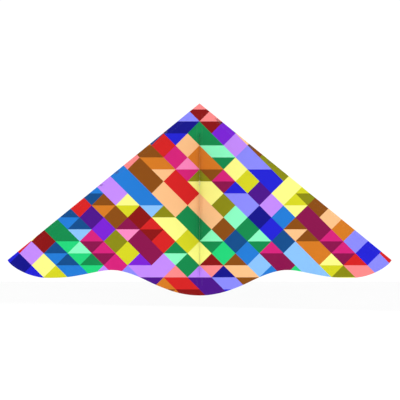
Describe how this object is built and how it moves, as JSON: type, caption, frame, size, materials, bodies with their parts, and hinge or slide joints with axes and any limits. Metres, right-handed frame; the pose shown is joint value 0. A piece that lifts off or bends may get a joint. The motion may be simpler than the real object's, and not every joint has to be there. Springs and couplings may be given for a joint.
{
  "type": "delta kite",
  "caption": "Delta kite with a printed two-wing sail on a folding rod frame, a centre keel with a tow eyelet, and a scalloped trailing edge.",
  "frame": {"origin": "on the sail's centre seam at the height of the spreader, where the spine and spreader cross and the kite is held", "axes": "+X along the span, +Z from the tail to the nose, +Y towards the back of the sail, where the spars are; the keel is on the -Y side"},
  "size_m": [1.6, 0.228, 0.8005],
  "materials": {
    "printed_sail": "ripstop polyester, dye printed in bright triangles and squares, slight sheen",
    "hem_fabric": "the sail's printed ripstop turned over and stitched",
    "keel_fabric": "woven ripstop polyester in the print of the sail",
    "webbing": "black woven nylon tape, matte",
    "fibreglass_rod": "pultruded fibreglass rod, satin black",
    "vinyl": "moulded soft black vinyl",
    "aluminium": "drawn tube, satin",
    "nickel_brass": "nickel-plated brass eyelet, polished"
  },
  "bodies": {
    "spine": {"spine_rod": "fibreglass_rod", "spine_nose_cap": "vinyl", "spine_tail_cap": "vinyl", "nose_pocket": "webbing", "tail_pocket": "webbing", "spine_sleeve_upper": "printed_sail", "spine_sleeve_lower": "printed_sail", "centre_band": "printed_sail", "tail_loop": "webbing", "centre_tee": "vinyl"},
    "right_wing": {"sail_right": "printed_sail", "trailing_edge_hem_right": "hem_fabric", "leading_edge_spar_upper_right": "fibreglass_rod", "leading_edge_spar_lower_right": "fibreglass_rod", "spar_ferrule_right": "aluminium", "stop_ring_upper_right": "vinyl", "stop_ring_lower_right": "vinyl", "spar_nose_cap_right": "vinyl", "spar_tip_cap_right": "vinyl", "tip_pocket_right": "webbing", "leading_edge_sleeve_upper_right": "printed_sail", "leading_edge_sleeve_lower_right": "printed_sail", "spreader_connector_right": "vinyl", "pivot_pin_right": "aluminium"},
    "left_wing": {"sail_left": "printed_sail", "trailing_edge_hem_left": "hem_fabric", "leading_edge_spar_upper_left": "fibreglass_rod", "leading_edge_spar_lower_left": "fibreglass_rod", "spar_ferrule_left": "aluminium", "stop_ring_upper_left": "vinyl", "stop_ring_lower_left": "vinyl", "spar_nose_cap_left": "vinyl", "spar_tip_cap_left": "vinyl", "tip_pocket_left": "webbing", "leading_edge_sleeve_upper_left": "printed_sail", "leading_edge_sleeve_lower_left": "printed_sail", "spreader_connector_left": "vinyl", "pivot_pin_left": "aluminium"},
    "right_spreader": {"spreader_rod_right": "fibreglass_rod", "spreader_eye_right": "vinyl"},
    "left_spreader": {"spreader_rod_left": "fibreglass_rod", "spreader_eye_left": "vinyl"},
    "keel": {"keel_binding": "keel_fabric", "keel_panel": "keel_fabric", "keel_patch_left": "keel_fabric", "keel_patch_right": "keel_fabric", "tow_grommet": "nickel_brass", "tow_washer": "nickel_brass"}
  },
  "joints": [
    {"name": "right_wing_fold", "type": "hinge", "parent": "spine", "child": "right_wing", "pos_m": [0.016, 0, 0], "axis": [0, 0, 1], "range_deg": [0, 85]},
    {"name": "left_wing_fold", "type": "hinge", "parent": "spine", "child": "left_wing", "pos_m": [-0.016, 0, 0], "axis": [0, 0, -1], "range_deg": [0, 85]},
    {"name": "right_spreader_swing", "type": "hinge", "parent": "right_wing", "child": "right_spreader", "pos_m": [0.45028, 0.015, 0], "axis": [0, 1, 0], "range_deg": [0, 36]},
    {"name": "left_spreader_swing", "type": "hinge", "parent": "left_wing", "child": "left_spreader", "pos_m": [-0.45028, 0.015, 0], "axis": [0, -1, 0], "range_deg": [0, 36]},
    {"name": "keel_swing", "type": "hinge", "parent": "spine", "child": "keel", "pos_m": [0, -0.002, 0], "axis": [0, 0, 1], "range_deg": [-85, 85]}
  ],
  "couplings": [
    {"joint": "right_spreader_swing", "follows": "right_wing_fold", "ratio": 0.4235},
    {"joint": "left_spreader_swing", "follows": "left_wing_fold", "ratio": 0.4235}
  ]
}
